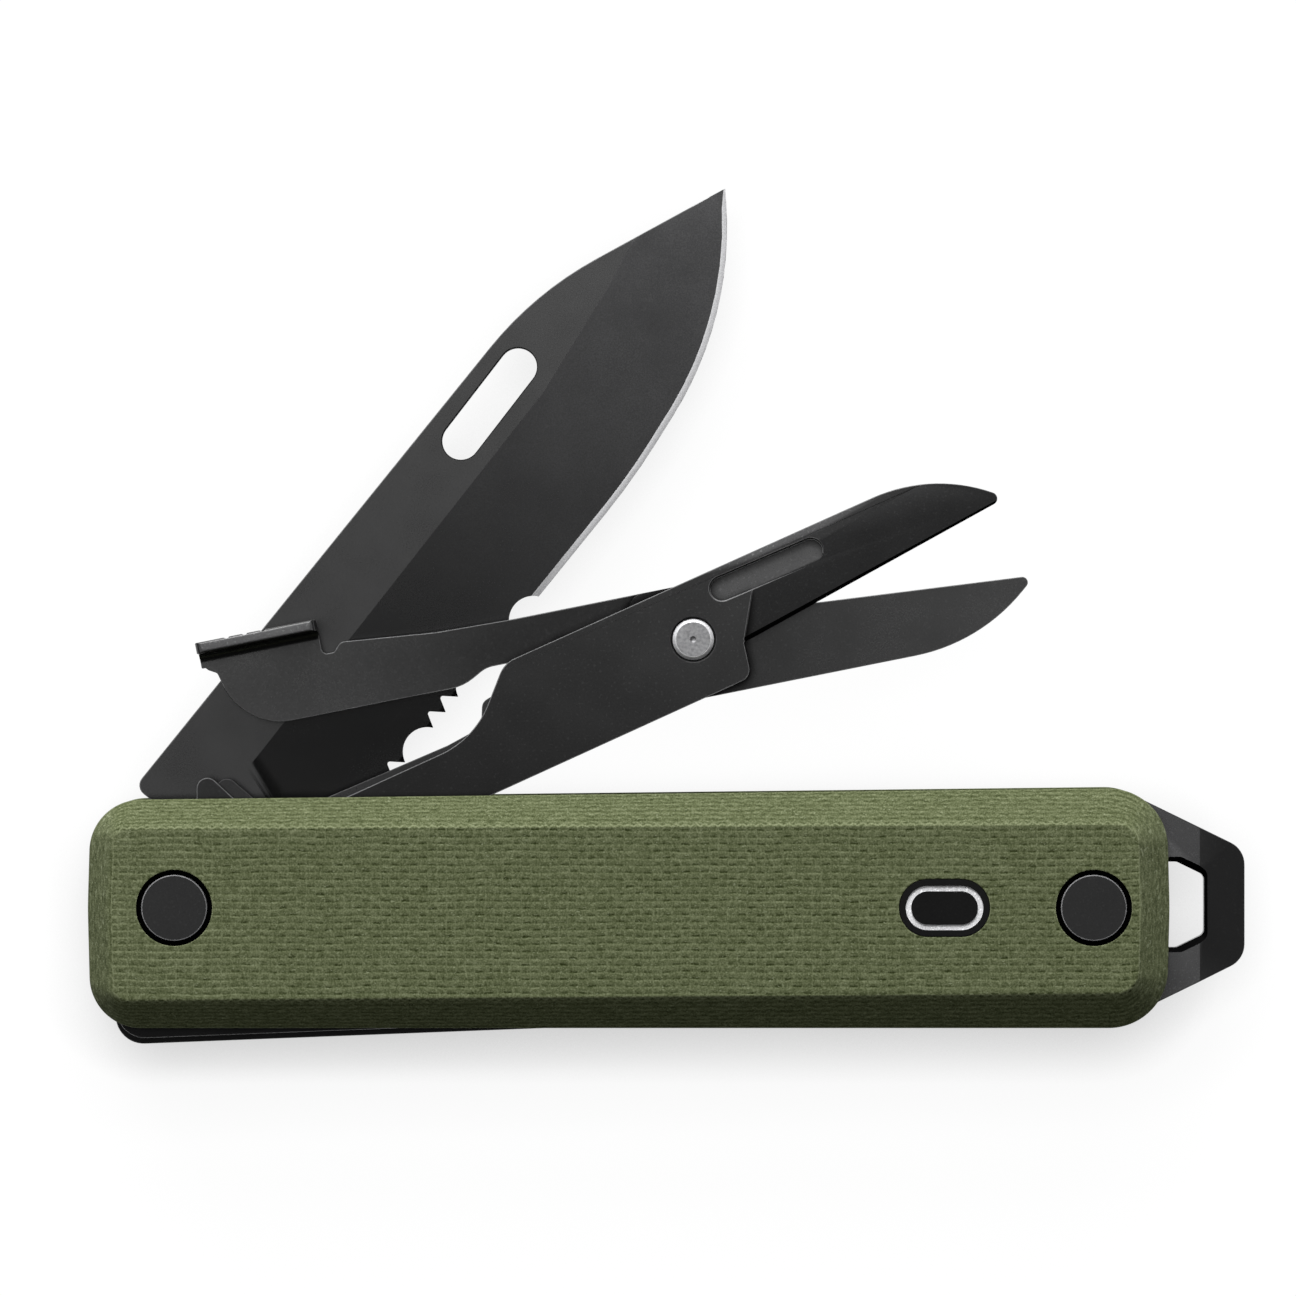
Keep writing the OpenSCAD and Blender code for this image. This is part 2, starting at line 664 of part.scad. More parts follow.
// The lever's cutting edge falls at this slope, and the flange starts this far behind the rivet
lever_edge_slope = 4.18;
lever_edge_h = 1.75;
lever_tip_x = cutter_l + 0.34;
lever_tip_r = 0.46;
lever_depth = 4.86;
lever_back = 4.5;
flange_x = 7.55 - rivet_x;
flange_end = flange_x + flange_l;
flange_out = 7.62;
flange_in = 5.5;
flange_corner_r = 0.55;
bend_r = 0.75;
function lever_edge_y(x) = lever_edge_h - x * tan(lever_edge_slope);
// Cutter half of the lever, thick enough to meet the arm
module lever_cutter() {
    outline([[3.6, lever_edge_y(3.6), 0.8], [lever_tip_x, lever_edge_y(lever_tip_x), lever_tip_r],
             [lever_tip_x - 5.47, -lever_depth, 15], [-3.2, -lever_depth, 3], [-5.4, 1.05, 2],
             [-4.4, lever_back, 1.5], [1.6, lever_back, 2.2]]);
}
// Thumb half of the lever, with a belly under the flange and a relief notch at its end
module lever_tail() {
    outline([[0, 1.05, 0], [-17, 1.05, 2.2], [-19.1, -0.08, 4], [flange_x + 2.4, -0.08, 5.2],
             [flange_x + 1.17, 4.9, 0.35], [flange_x + 0.5, 5.28, 0.3],
             [flange_x + 0.1, flange_in + 0.25, 0.1], [flange_x + 0.1, flange_in + 0.6, 0],
             [flange_end, flange_in + 0.6, 0],
             [flange_end, 4.72, 0.42], [flange_end + 0.95, 4.72, 0.4], [flange_end + 1.6, 5.45, 0.7],
             [-20.5, 4.68, 12], [-14, lever_back, 0], [0, lever_back, 0]]);
}
groove_r = 0.32;
groove_pitch = 1.5;
module thumb_flange() {
    top = lever_t + flange_h;
    inner = flange_out - flange_t;
    difference() {
        intersection() {
            translate([flange_x, 0, 0]) rotate([90, 0, 90]) linear_extrude(flange_l)
                outline([[flange_in, 0, 0], [flange_out, 0, 1.65], [flange_out, top, 0.25],
                         [inner, top, 0.25], [inner, lever_t, bend_r], [flange_in, lever_t, 0]]);
            translate([0, flange_out + over, 0]) rotate([90, 0, 0]) linear_extrude(flange_out)
                outline([[flange_x, -over, 0], [flange_end, -over, 0],
                         [flange_end, top, flange_corner_r], [flange_x, top, flange_corner_r]]);
        }
        for (i = [0 : 2])
            translate([flange_x + 2.6 + i * groove_pitch, flange_out + groove_r * 0.6, -over])
                cylinder(r = groove_r, h = top + 2 * over);
    }
}
// Lug on the lever that the leaf of the scissor spring pushes up
push_lug = [-10.4, 1.6];
push_lug_r = 0.55;
rivet_tail_r = 1.6;
rivet_tail_h = 0.5;
module scissor_lever() {
    grind_w = 3.2;
    cutter_t = lever_t + leaf_t + side_play;
    color("black") translate([0, 0, z_lever]) at_rivet(lever_angle) difference() {
        union() {
            linear_extrude(cutter_t) lever_cutter();
            linear_extrude(lever_t) lever_tail();
            thumb_flange();
            translate([push_lug[0], push_lug[1], lever_t / 2])
                cylinder(r = push_lug_r, h = cutter_t - lever_t / 2);
        }
        translate([0, 0, -over]) cylinder(r = rivet_r + fit_gap, h = cutter_t + 2 * over);
        translate([0, 0, -over]) cylinder(r = rivet_tail_r + 2 * fit_gap, h = rivet_tail_h + over);
        translate([0, lever_edge_h, cutter_t - cutter_land]) rotate(-lever_edge_slope)
            rotate([atan((cutter_t - cutter_land) / grind_w), 0, 0])
                translate([4.5, -grind_w - over, -cutter_t * 2]) cube([pin_span, pin_span, cutter_t * 2]);
    }
}
module scissor_rivet() {
    head_h = 0.5;
    head_edge = 0.26;
    dimple_r = 0.3;
    dimple_deep = 0.12;
    proud = 0.05;
    z_head = z_arm + arm_t - head_h + proud;
    z_tail = z_lever + proud;
    color("silver") at_rivet(0) difference() {
        union() {
            translate([0, 0, z_head]) cylinder(r = rivet_head_r, h = head_h - head_edge);
            translate([0, 0, z_head + head_h - head_edge])
                cylinder(r1 = rivet_head_r, r2 = rivet_head_r - head_edge, h = head_edge);
            translate([0, 0, z_tail]) cylinder(r = rivet_r, h = z_head - z_tail + head_h / 4);
            translate([0, 0, z_tail]) cylinder(r = rivet_tail_r, h = rivet_tail_h - 2 * proud);
        }
        translate([0, 0, z_head + head_h - dimple_deep])
            cylinder(r1 = 0, r2 = dimple_r, h = dimple_deep);
    }
}
// Leaf spring of the scissors: a tang on the pivot, a plate on the arm's boss and a leaf
module scissor_spring() {
    leaf_tip = rivet_x - 9.1;
    lug_back = norm(lug);
    lug_angle = atan2(lug[1], lug[0]) - lug_turn;
    lug_top = polar(lug_back, lug_angle);
    plate_foot = 0.25 - neck_half;
    color("black") slab(z_lever + lever_t + side_play, leaf_t) at_pivot(arm_angle) difference() {
        union() {
            tang_square();
            outline([[0, plate_foot, 0], [rivet_x - 25.8, plate_foot, 1], [rivet_x - 20.8, 1.2, 3],
                     [rivet_x - 17.1, 3.4, 2], [leaf_tip, 4.87, 0.35], [leaf_tip - 0.1, 5.67, 0.3],
                     [rivet_x - 17.75, 4.85, 0.8], [rivet_x - 18.7, 3, 0.9], [rivet_x - 21.8, 2.78, 1],
                     [10.4, 3.1, 1.2], [lug_top[0], lug_top[1], lug_r], [4.9, 4.3, 0], [0, 0, 0]]);
        }
        circle(hole_r);
        translate([boss_x, 0]) circle(boss_r + fit_gap);
    }
}

front_scale();
rear_scale();
shield_inlay();
front_liner();
middle_liner();
rear_liner();
blade();
blade_backspring();
scissor_backspring();
scissor_arm();
scissor_lever();
scissor_spring();
scissor_rivet();
pivot_barrel();
pivot_screw();
butt_barrel();
butt_screw();
spring_pin();
blade_washers();
scissor_washers();
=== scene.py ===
"""Looks of the folding multi tool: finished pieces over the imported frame, floor, light and camera.

Lengths named with _MM are millimetres. Everything else is in metres, in the frame's own axes:
X runs along the handle to the pry tab, Y to the side the blade opens from, Z to the front scale.
"""
import json
import math

import bmesh
import bpy
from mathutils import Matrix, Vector


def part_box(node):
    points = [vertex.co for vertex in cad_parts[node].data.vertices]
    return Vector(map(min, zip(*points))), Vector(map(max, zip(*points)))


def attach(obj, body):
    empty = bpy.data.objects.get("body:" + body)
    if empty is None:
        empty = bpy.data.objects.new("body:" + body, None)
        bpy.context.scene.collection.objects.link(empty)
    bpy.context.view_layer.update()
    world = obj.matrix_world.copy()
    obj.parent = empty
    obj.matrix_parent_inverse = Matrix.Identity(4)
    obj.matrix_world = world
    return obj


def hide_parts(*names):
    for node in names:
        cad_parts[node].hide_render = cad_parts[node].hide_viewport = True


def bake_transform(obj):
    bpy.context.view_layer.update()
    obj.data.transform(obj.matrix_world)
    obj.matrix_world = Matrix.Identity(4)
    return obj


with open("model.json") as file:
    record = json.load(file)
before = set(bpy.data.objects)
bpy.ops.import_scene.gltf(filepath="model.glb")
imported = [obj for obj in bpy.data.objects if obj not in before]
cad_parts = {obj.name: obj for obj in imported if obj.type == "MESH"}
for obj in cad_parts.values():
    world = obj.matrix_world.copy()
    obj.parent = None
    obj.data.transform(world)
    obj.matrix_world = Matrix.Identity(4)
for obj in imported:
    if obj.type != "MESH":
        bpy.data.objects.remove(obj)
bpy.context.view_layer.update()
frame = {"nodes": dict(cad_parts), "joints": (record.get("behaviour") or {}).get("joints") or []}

MM = 0.001
joints = {joint["name"]: joint for joint in frame["joints"]}
PIVOT = Vector(joints["blade_pivot"]["pos_m"])
RIVET = Vector(joints["lever_pivot"]["pos_m"])
Z_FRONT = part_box("front_scale")[1].z
BLADE_LOW, BLADE_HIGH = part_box("blade")
BLADE_MID_Z = (BLADE_LOW.z + BLADE_HIGH.z) / 2

# Direction of the blade from the pivot at rest, and how far along it the plain edge starts
BLADE_ANGLE = math.radians(51.05)
PLAIN_EDGE_MM = 38.19
# Half thickness of the steel at the top of the sharpened bevel
SHARP_HALF_MM = 0.31


class Graph:
    """Short calls that build one material's node tree."""

    def __init__(self, name):
        self.material = bpy.data.materials.new(name)
        self.material.use_nodes = True
        self.tree = self.material.node_tree
        self.shader = self.tree.nodes["Principled BSDF"]

    def add(self, kind, **settings):
        node = self.tree.nodes.new(kind)
        for key, value in settings.items():
            setattr(node, key, value)
        return node

    def put(self, socket, value):
        """Links a socket to another, or sets its value."""
        if isinstance(value, bpy.types.NodeSocket):
            self.tree.links.new(value, socket)
        else:
            socket.default_value = value

    def math(self, operation, a, b=0.0):
        node = self.add("ShaderNodeMath", operation=operation)
        self.put(node.inputs[0], a)
        self.put(node.inputs[1], b)
        return node.outputs[0]

    def total(self, *terms):
        """Sum of values, each given with its weight."""
        parts = [self.math("MULTIPLY", value, weight) for value, weight in terms]
        result = parts[0]
        for part in parts[1:]:
            result = self.math("ADD", result, part)
        return result

    def vector(self, operation, a, b):
        """Vector math of two vectors. SCALE takes a number second, and DISTANCE gives a number."""
        node = self.add("ShaderNodeVectorMath", operation=operation)
        self.put(node.inputs[0], a)
        self.put(node.inputs["Scale" if operation == "SCALE" else 1], b)
        return node.outputs["Value" if operation == "DISTANCE" else "Vector"]

    def place(self, scale=(1.0, 1.0, 1.0), shift=None):
        """Place on the piece in millimetres, stretched by scale and moved by a vector socket."""
        place = self.add("ShaderNodeTexCoord").outputs["Object"]
        stretched = self.vector("MULTIPLY", place, [s / MM for s in scale])
        return stretched if shift is None else self.vector("ADD", stretched, shift)

    def axes(self, vector):
        node = self.add("ShaderNodeSeparateXYZ")
        self.put(node.inputs[0], vector)
        return node.outputs

    def noise(self, vector, scale, detail=2.0, rough=0.5, colour=False):
        node = self.add("ShaderNodeTexNoise")
        self.put(node.inputs["Vector"], vector)
        node.inputs["Scale"].default_value = scale
        node.inputs["Detail"].default_value = detail
        node.inputs["Roughness"].default_value = rough
        return node.outputs["Color" if colour else "Fac"]

    def span(self, value, low, high, to_low=0.0, to_high=1.0, smooth=True):
        """Maps low..high to to_low..to_high, and holds the ends."""
        node = self.add("ShaderNodeMapRange", clamp=True)
        node.interpolation_type = "SMOOTHSTEP" if smooth else "LINEAR"
        for key, number in zip((1, 2, 3, 4), (low, high, to_low, to_high)):
            self.put(node.inputs[key], number)
        self.put(node.inputs[0], value)
        return node.outputs[0]

    def ramp(self, value, stops):
        """Colour for a value, from stops of (place, colour)."""
        node = self.add("ShaderNodeValToRGB")
        band = node.color_ramp
        while len(band.elements) < len(stops):
            band.elements.new(0.5)
        for element, (place, colour) in zip(band.elements, stops):
            element.position = place
            element.color = (*colour, 1.0)
        self.put(node.inputs[0], value)
        return node.outputs[0]

    def mix(self, share, a, b):
        """Colour between a and b."""
        node = self.add("ShaderNodeMix", data_type="RGBA")
        self.put(node.inputs["Factor"], share)
        for key, colour in ((6, a), (7, b)):
            self.put(node.inputs[key], colour if isinstance(colour, bpy.types.NodeSocket) else (*colour, 1.0))
        return node.outputs[2]

    def blend(self, share, a, b):
        """Number between a and b."""
        node = self.add("ShaderNodeMix", data_type="FLOAT")
        self.put(node.inputs["Factor"], share)
        self.put(node.inputs[2], a)
        self.put(node.inputs[3], b)
        return node.outputs[0]

    def bump(self, height, depth_mm, strength=1.0):
        node = self.add("ShaderNodeBump")
        node.inputs["Distance"].default_value = depth_mm * MM
        node.inputs["Strength"].default_value = strength
        self.put(node.inputs["Height"], height)
        self.put(self.shader.inputs["Normal"], node.outputs[0])

    def finish(self, colour, roughness, metallic=0.0, specular=0.5):
        self.put(self.shader.inputs["Base Color"], colour)
        self.put(self.shader.inputs["Roughness"], roughness)
        self.shader.inputs["Metallic"].default_value = metallic
        self.put(self.shader.inputs["Specular IOR Level"], specular)
        return self.material


# Woven laminate of the scales
YARN_X_MM = 0.759
YARN_Y_MM = 0.576
LAYER_MM = 0.262
# How far below a gap lies the painted highlight on the lit top of the next yarn
LIT_LIP_MM = 0.12
# How far the yarns wander
DRIFT_MM = 0.45
# Where along the handle the cloth changes from pressed smooth to open
PRESSED_MM = (-44.0, -20.0)
PRESSED_LEAST = 0.55
# Depth of the scallops where the bevel meets the face, and height of the weave
SCALLOP_MM = 0.13
WEAVE_MM = 0.035
OLIVE_DARK = (0.026, 0.034, 0.009)
OLIVE = (0.093, 0.109, 0.050)
OLIVE_PALE = (0.205, 0.228, 0.128)
FIBRE_PALE = (0.30, 0.33, 0.21)
# Share of pale fibre where the yarns are cut across
END_SHARE = 0.10


def laminate(name, face_z):
    """Cloth laminate: a plain weave on the outer face at height face_z, and its layers' edges elsewhere."""
    g = Graph(name)
    drift = g.noise(g.place(), 0.30, colour=True)
    centred = g.vector("SUBTRACT", drift, (0.5, 0.5, 0.5))
    x, y, _ = g.axes(g.place(shift=g.vector("SCALE", centred, DRIFT_MM)))
    plain_x, _, plain_z = g.axes(g.place())
    depth = g.math("ABSOLUTE", g.math("SUBTRACT", plain_z, face_z / MM))
    across = g.math("SINE", g.math("MULTIPLY", x, math.pi / YARN_X_MM))
    along = g.math("COSINE", g.math("MULTIPLY", y, math.pi / YARN_Y_MM))
    checker = g.math("MULTIPLY", across, along)
    seam = g.math("POWER", g.math("ABSOLUTE", along), 9.0)
    patch = g.span(g.noise(g.place(), 0.55, 2.0), 0.32, 0.68, 0.45, 1.15, smooth=False)
    grain = g.noise(g.place(), 7.5, 1.0, 0.6)
    mottle = g.noise(g.place(), 0.8, 3.0)
    speck = g.span(g.noise(g.place((1.0, 1.8, 1.0)), 4.5, 1.0), 0.66, 0.76)

    # Outer face: dark gaps between the yarns, fibres along the yarn that lies on top
    dash = g.math("MULTIPLY", g.span(checker, -0.45, 0.45), seam)
    # The cloth is pressed smoother towards the pivot end
    pressed = g.span(plain_x, *PRESSED_MM, PRESSED_LEAST, 1.0)
    gap = g.math("MULTIPLY", g.blend(0.74, seam, dash), g.math("MULTIPLY", patch, pressed))
    # Paler outlines of the yarns along their sides, and a painted highlight on the lip below each gap, where
    # the next yarn faces the light
    side = g.math("POWER", g.math("SUBTRACT", 1.0, g.math("ABSOLUTE", across)), 3.0)
    lower = g.math("MULTIPLY", g.math("ADD", y, LIT_LIP_MM), math.pi / YARN_Y_MM)
    lit_lip = g.math("POWER", g.math("ABSOLUTE", g.math("COSINE", lower)), 12.0)
    outline_and_lit_lip = g.math("MULTIPLY", g.math("MAXIMUM", side, lit_lip),
                     g.span(g.noise(g.place(), 0.9, 2.0), 0.35, 0.65, 0.2, 1.0, smooth=False))
    lying = g.noise(g.place((1.5, 7.0, 1.0)), 1.0, 3.0)
    standing = g.noise(g.place((6.0, 1.7, 1.0)), 1.0, 3.0)
    fibre = g.blend(g.span(checker, -0.5, 0.5), standing, lying)
    outlined = g.span(pressed, PRESSED_LEAST, 1.0, 0.28, 0.16)
    cloth = g.total((fibre, 0.55), (grain, 0.75), (mottle, 0.25), (outline_and_lit_lip, outlined))
    face_tone = g.math("SUBTRACT", g.total((cloth, 1.0), (gap, -0.29)), 0.225)

    # Cut edges: one stripe for each layer of cloth, broken into short lengths by the weave
    wave = g.total((checker, 0.14), (mottle, 0.55))
    layer = g.math("MULTIPLY", g.math("ADD", g.math("DIVIDE", depth, LAYER_MM), wave), 2 * math.pi)
    stripe = g.math("SINE", layer)
    streak = g.noise(g.place((1.6, 1.6, 8.0)), 1.0, 3.0)
    # At the ends of the handle the yarns are cut across: blotches and flecks in place of even stripes
    facing = g.math("ABSOLUTE", g.axes(g.add("ShaderNodeTexCoord").outputs["Normal"])[0])
    at_end = g.span(facing, 0.3, 0.6)
    blotch = g.math("SUBTRACT", g.noise(g.place((4.2, 1.3, 4.2)), 1.0, 3.0, 0.6), 0.5)
    striped = g.blend(at_end, 0.085, 0.03)
    blotched = g.blend(at_end, 0.15, 0.95)
    edge_tone = g.total((streak, 0.55), (grain, 0.75), (stripe, striped), (blotch, blotched))
    edge_tone = g.math("SUBTRACT", edge_tone, 0.145)

    # The line between them is scalloped, because the bevel cuts through the crowns of the yarns
    rim = g.total((depth, 1.0), (g.math("ABSOLUTE", across), -SCALLOP_MM))
    on_edge = g.span(rim, -0.06, 0.03)
    crown = g.math("MULTIPLY", g.span(rim, -0.08, -0.01), g.span(rim, 0.01, 0.10, 1.0, 0.0))
    below = g.span(depth, 0.001, 0.02)
    tone = g.blend(on_edge, face_tone, edge_tone)
    tone = g.total((tone, 1.0), (g.math("MULTIPLY", crown, below), 0.22))
    colour = g.ramp(tone, [(0.18, OLIVE_DARK), (0.50, OLIVE), (0.86, OLIVE_PALE)])
    colour = g.mix(g.math("MULTIPLY", speck, 0.55), colour, FIBRE_PALE)
    # Yarns cut across look paler at the ends of the handle, with short bright threads among them
    thread = g.span(g.noise(g.place((4.0, 2.2, 4.0)), 1.0, 0.0), 0.70, 0.78)
    bright = g.math("ADD", END_SHARE, g.math("MULTIPLY", thread, 0.45))
    colour = g.mix(g.math("MULTIPLY", at_end, bright), colour, FIBRE_PALE)
    swell = g.math("SUBTRACT", 1.0, g.math("MULTIPLY", along, along))
    cloth_relief = g.total((swell, 0.45), (cloth, 0.5), (gap, -0.6))
    edge_relief = g.total((stripe, 0.25), (grain, 1.0))
    g.bump(g.blend(on_edge, cloth_relief, edge_relief), WEAVE_MM, 0.6)
    return g.finish(colour, g.span(tone, 0.2, 0.8, 0.78, 0.66, smooth=False), specular=0.06)


# Distance at which a part that stands close darkens the coating with painted contact shade
CONTACT_SHADE_MM = 0.8
# Height of the blast grain and of the grinding marks
BLAST_MM = 0.002
GRIND_MM = 0.004


def shades(tone, *factors):
    """The tone made darker or paler by each factor."""
    return [tuple(factor * c for c in tone) for factor in factors]


def painted_light_and_shade(g, colour, specular, centre, near, far, ease, times_tone, times_specular):
    """Colour and specular level of a coating with painted light and painted shade.

    Painted light makes it paler and more reflective between two distances from a centre, in millimetres, and
    reaches these factors. Where another part stands close, ambient occlusion darkens it as painted contact
    shade.
    """
    flat = g.vector("MULTIPLY", g.place(), (1.0, 1.0, 0.0))
    away = g.vector("DISTANCE", flat, (*centre, 0.0))
    share = g.math("POWER", g.span(away, near, far, smooth=False), ease)
    # Painted contact shade: ambient occlusion darkens colour and specular near other parts
    close = g.add("ShaderNodeAmbientOcclusion", samples=4)
    close.inputs["Distance"].default_value = CONTACT_SHADE_MM * MM
    clear = g.span(close.outputs["AO"], 0.5, 0.97, 0.12, 1.0, smooth=False)
    colour = g.vector("SCALE", colour, g.math("MULTIPLY", g.blend(share, 1.0, times_tone), clear))
    return colour, g.math("MULTIPLY", g.blend(share, specular, specular * times_specular), clear)


def painted_highlight_strip(g, colour, start, end, width, times_tone):
    """Colour with a painted highlight: a paler strip along a straight edge between two points, widest in the
    middle.
    """
    run = Vector(end) - Vector(start)
    length = run.length
    run.normalize()
    x, y, _ = g.axes(g.place())
    x = g.math("SUBTRACT", x, start[0])
    y = g.math("SUBTRACT", y, start[1])
    along = g.total((x, run.x), (y, run.y))
    off = g.math("ABSOLUTE", g.total((y, run.x), (x, -run.y)))
    ends = g.math("MULTIPLY", g.span(along, 0.0, 0.4 * length), g.span(along, 0.6 * length, length, 1.0, 0.0))
    # A touch more than none, because the distance is divided by it
    reach = g.math("ADD", g.math("MULTIPLY", ends, width), 0.001)
    highlight_share = g.span(g.math("DIVIDE", off, reach), 0.25, 1.0, 1.0, 0.0)
    return g.vector("SCALE", colour, g.blend(g.math("MULTIPLY", highlight_share, ends), 1.0, times_tone))


def coated_steel(name, tone, rough, grain=9.0, speck_share=0.25, specular=0.5, painted_light=None, highlight_strip=None):
    """Black coating on steel: fine blast grain, soft cloudy patches and a few pale specks.

    painted_light holds what painted_light_and_shade takes from its centre on, and highlight_strip what
    painted_highlight_strip takes from its start on.
    """
    g = Graph(name)
    fine = g.noise(g.place(), grain, 2.0)
    cloud = g.noise(g.place(), 0.22, 3.0)
    shade = g.total((fine, 0.6), (cloud, 0.4))
    dark, pale, palest = shades(tone, 0.62, 1.38, 3.2)
    colour = g.ramp(shade, [(0.30, dark), (0.70, pale)])
    speck = g.span(g.noise(g.place(), grain * 0.6, 0.0), 0.68, 0.78)
    colour = g.mix(g.math("MULTIPLY", speck, speck_share), colour, palest)
    # Painted light that grows away from a centre, with painted contact shade
    if painted_light:
        colour, specular = painted_light_and_shade(g, colour, specular, *painted_light)
    # Painted highlight strip along an edge
    if highlight_strip:
        colour = painted_highlight_strip(g, colour, *highlight_strip)
    g.bump(fine, BLAST_MM, 0.3)
    roughness = g.span(shade, 0.3, 0.7, rough + 0.05, rough - 0.05, smooth=False)
    return g.finish(colour, roughness, specular=specular)


def bare_steel(name, tone, rough, stretch=(1.0, 1.0, 1.0), grain=6.0, metallic=1.0):
    """Bare steel with grinding marks drawn out by stretch."""
    g = Graph(name)
    marks = g.noise(g.place(stretch), grain, 3.0)
    dark, pale = shades(tone, 0.78, 1.15)
    colour = g.ramp(marks, [(0.3, dark), (0.7, pale)])
    g.bump(marks, GRIND_MM, 0.5)
    roughness = g.span(marks, 0.3, 0.7, rough + 0.08, rough - 0.08, smooth=False)
    return g.finish(colour, roughness, metallic)


def grey(level):
    """Grey with a touch of blue."""
    return (level, level, 1.02 * level)


PIVOT_MM = (PIVOT.x / MM, PIVOT.y / MM)
# Middles of the painted light gradients on the scissors' arm and lever, darkest at these points
ARM_GRADIENT_MIDDLE_MM = (-14.0, -6.0)
LEVER_GRADIENT_MIDDLE_MM = (-4.0, 19.2)
# Ends of the painted highlight strip along the arm's back edge
ARM_HIGHLIGHT_STRIP_MM = ((3.0, 26.0), (21.5, 34.0))
# Settings that add no painted light, only the painted contact shade where a part stands close
CONTACT_SHADE_ONLY = (ARM_GRADIENT_MIDDLE_MM, 1, 2, 1.0, 1.0, 1.0)
# painted_light gives a coat painted light, paler away from a centre, and painted contact shade;
# highlight_strip gives a painted highlight along an edge
COATS = {
    "blade_coat": dict(tone=grey(0.007), rough=0.25, speck_share=0.06, specular=0.38,
                       painted_light=(PIVOT_MM, 22, 70, 1.5, 2.2, 1.55)),
    "blade_ground": dict(tone=grey(0.003), rough=0.24, speck_share=0.06, specular=0.40,
                         painted_light=(PIVOT_MM, 18, 74, 1.6, 27.0, 1.0)),
    "spring_coat": dict(tone=grey(0.004), rough=0.26, specular=0.08,
                        painted_light=(PIVOT_MM, 60, 80, 1.0, 13.5, 10.0)),
    "spring_rim": dict(tone=grey(0.03), rough=0.34),
    "spring_ground": dict(tone=grey(0.010), rough=0.40),
    "leaf_coat": dict(tone=grey(0.009), rough=0.30, specular=0.3),
    # Near-black painted shade for slots, recesses and steep facets
    "painted_shade_black": dict(tone=grey(0.0015), rough=0.60, specular=0.02),
    "arm_coat": dict(tone=grey(0.006), rough=0.32, grain=7.0, speck_share=0.5, specular=0.18,
                     painted_light=(ARM_GRADIENT_MIDDLE_MM, 16, 42, 1.0, 2.2, 2.1), highlight_strip=(*ARM_HIGHLIGHT_STRIP_MM, 0.75, 7.0)),
    "lever_coat": dict(tone=grey(0.006), rough=0.30, grain=7.0, speck_share=0.4, specular=0.24,
                       painted_light=(LEVER_GRADIENT_MIDDLE_MM, 6, 34, 1.0, 2.0, 2.6)),
    "flange_end": dict(tone=grey(0.065), rough=0.34, grain=7.0, speck_share=0.5, specular=0.6),
    "line_white": dict(tone=grey(0.80), rough=0.55),
    "cutter_ground": dict(tone=grey(0.028), rough=0.42, painted_light=CONTACT_SHADE_ONLY),
    "nick_floor": dict(tone=grey(0.030), rough=0.30, grain=7.0, speck_share=0.3, painted_light=CONTACT_SHADE_ONLY),
    "worn_edge": dict(tone=grey(0.10), rough=0.30, specular=1.0),
    "head_coat": dict(tone=grey(0.009), rough=0.60, grain=8.0, speck_share=0.3, specular=0.40),
    "head_rim": dict(tone=grey(0.18), rough=0.34, specular=1.0),
    "liner_coat": dict(tone=grey(0.02), rough=0.42),
    "inlay_black": dict(tone=grey(0.005), rough=0.45, specular=0.12),
}
BARE = {
    "ground_steel": dict(tone=grey(0.78), rough=0.50, grain=9.0, metallic=0.15),
    "rivet_steel": dict(tone=grey(0.36), rough=0.42, grain=4.0),
    "rivet_rim": dict(tone=grey(0.82), rough=0.40, metallic=0.15),
    "pin_steel": dict(tone=grey(0.5), rough=0.35, stretch=(1, 1, 0.1)),
    "washer_brass": dict(tone=(0.62, 0.44, 0.18), rough=0.38),
}
materials = {
    "front_laminate": laminate("front_laminate", Z_FRONT),
    "rear_laminate": laminate("rear_laminate", 0.0),
}
for key, settings in COATS.items():
    materials[key] = coated_steel(key, **settings)
for key, settings in BARE.items():
    materials[key] = bare_steel(key, **settings)

# Finished copies: points closer than this are one, and angles that sort the edges
WELD = 1e-6
FLAT_ANGLE = math.radians(0.4)
EDGE_ANGLE = math.radians(28)
SMOOTH_ANGLE = math.radians(32)
CREASE_ANGLE = math.radians(2.5)
LEVEL = math.cos(math.radians(0.3))
# A face takes a round if it is this many times as wide
ROOM = 2.5
# Picked faces: how far a normal stands up, from 0 on a wall to 1 on a level face
WALL = 0.1
UPWARD = 0.9
NEARLY_LEVEL = 0.95
SHARP_UP = (0.3, 0.96)
CHAMFER_UP = (0.42, 0.87)
CUTTER_UP = (0.80, 0.985)
# Half thickness of the blade near its edge, where no edge is rounded
THIN_HALF_MM = 0.5
# The thumb slot along the blade, the height of its middle line and the reach to its walls
SLOT_SPAN_MM = (42, 54)
SLOT_MID_MM = 5.9
SLOT_REACH_MM = 1.8
# Axis of the butt pin, and the radius and least depth of the recesses round the heads
BUTT = sum(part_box("butt_barrel"), Vector()) / 2
RECESS_R = 3.1 * MM
RECESS_DEEP_MM = 0.06
# Width of the facet on the arm's cutting edge at the heel and at the tip, and how far it drops
FACET_MM = (0.33, 0.12)
FACET_DROP_MM = 0.17
# Points this close to the lowest one lie on the cutting edge
FOOT_MM = 0.02


def roomy(edge, width):
    """True where both faces beside an edge are wide enough for a round of this width."""
    start, along = edge.verts[0].co, (edge.verts[1].co - edge.verts[0].co).normalized()
    for polygon in edge.link_faces:
        reach = max(((v.co - start) - (v.co - start).dot(along) * along).length for v in polygon.verts)
        if reach < ROOM * width:
            return False
    return True


def creased(edge):
    """True between a level face and a ground one, where the grind starts in a clear line."""
    level = [abs(polygon.normal.z) > LEVEL for polygon in edge.link_faces]
    painted = [polygon.material_index for polygon in edge.link_faces]
    return level[0] != level[1] and max(painted) == 0 and edge.calc_face_angle() > CREASE_ANGLE


